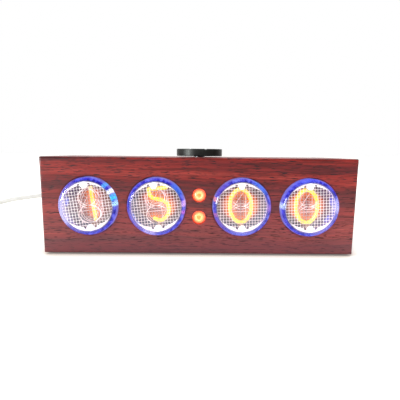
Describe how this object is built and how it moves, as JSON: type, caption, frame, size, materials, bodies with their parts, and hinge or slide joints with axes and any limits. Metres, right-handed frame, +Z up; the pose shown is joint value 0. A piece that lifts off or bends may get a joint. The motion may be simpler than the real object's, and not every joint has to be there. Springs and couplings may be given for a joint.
{
  "type": "desk clock with glow digit tubes",
  "caption": "Desk clock: end-on glow digit tubes and neon colon lamps set in a red hardwood block, with a push-and-turn knob on top and a thin white power lead",
  "frame": {"origin": "middle of the clock's base on the table, half-way between the front of the tubes and the back of the block, without the lead", "axes": "+X to the right seen from the front, along the clock's long side; the front faces -Y; +Z up"},
  "size_m": [0.3122, 0.0952, 0.055],
  "materials": {
    "case_wood": "oiled red hardwood, fine straight grain, satin",
    "black_acrylic": "black acrylic sheet, polished",
    "steel": "zinc-plated steel",
    "foot_rubber": "black rubber",
    "circuit_board": "green solder mask on glass-fibre board",
    "brass": "turned brass",
    "black_moulding": "black moulded plastic",
    "tube_glass": "clear blown glass, polished",
    "base_glass": "pressed glass, slightly cloudy",
    "mesh_metal": "etched nickel mesh, pale",
    "bead_ceramic": "unglazed white ceramic beads on wire rods",
    "cathode_metal": "etched nickel-steel plates",
    "light_lens": "blue-violet light emitter under clear resin",
    "lamp_glass": "small neon lamp, glowing orange",
    "electrode_metal": "nickel electrodes",
    "knob_black": "black moulded plastic, satin",
    "nickel": "nickel-plated brass",
    "contact_plastic": "cream moulded plastic",
    "ribbon_grey": "grey flat cable",
    "ferrite": "dark ferrite core with enamelled winding",
    "capacitor_sleeve": "dark blue shrink sleeve",
    "holder_plastic": "natural moulded plastic",
    "lead_white": "soft white vinyl"
  },
  "bodies": {
    "root": {"case": "case_wood", "back_cover": "black_acrylic", "cover_screws": "steel", "feet": "foot_rubber", "display_board": "circuit_board", "control_board": "circuit_board", "board_pillars": "brass", "board_spacers": "brass", "board_screws": "steel", "board_link": "black_moulding", "tube_glass_1": "tube_glass", "tube_glass_2": "tube_glass", "tube_glass_3": "tube_glass", "tube_glass_4": "tube_glass", "tube_base_1": "base_glass", "tube_base_2": "base_glass", "tube_base_3": "base_glass", "tube_base_4": "base_glass", "anode_mesh_1": "mesh_metal", "anode_mesh_2": "mesh_metal", "anode_mesh_3": "mesh_metal", "anode_mesh_4": "mesh_metal", "support_rods_1": "bead_ceramic", "support_rods_2": "bead_ceramic", "support_rods_3": "bead_ceramic", "support_rods_4": "bead_ceramic", "digit_stack_1": "cathode_metal", "digit_stack_2": "cathode_metal", "digit_stack_3": "cathode_metal", "digit_stack_4": "cathode_metal", "tube_socket_1": "black_moulding", "tube_socket_2": "black_moulding", "tube_socket_3": "black_moulding", "tube_socket_4": "black_moulding", "backlights": "light_lens", "lamp_upper": "lamp_glass", "lamp_lower": "lamp_glass", "lamp_electrodes": "electrode_metal", "lamp_block": "black_moulding", "encoder_body": "black_moulding", "encoder_bush": "nickel", "encoder_nut": "nickel", "encoder_washer": "nickel", "encoder_board": "circuit_board", "click_dome": "steel", "encoder_ribbon": "ribbon_grey", "power_socket": "steel", "booster_coil": "ferrite", "booster_capacitors": "capacitor_sleeve", "chips": "black_moulding", "cell_holder": "holder_plastic", "backup_cell": "steel", "cord_plug": "lead_white", "cord_run": "lead_white", "cord_coil": "lead_white", "cord_supply_plug": "lead_white", "cord_supply_shell": "steel"},
    "turning_disc": {"encoder_rotor": "contact_plastic"},
    "knob_and_shaft": {"knob": "knob_black", "encoder_shaft": "nickel"}
  },
  "joints": [
    {"name": "knob_turn", "type": "hinge", "parent": "root", "child": "turning_disc", "pos_m": [0, 0.0025, 0.042], "axis": [0, 0, 1], "continuous": true},
    {"name": "knob_press", "type": "slide", "parent": "turning_disc", "child": "knob_and_shaft", "axis": [0, 0, -1], "range_m": [0, 0.0005], "stiffness_N_per_m": 400, "springref_m": -0.001}
  ]
}
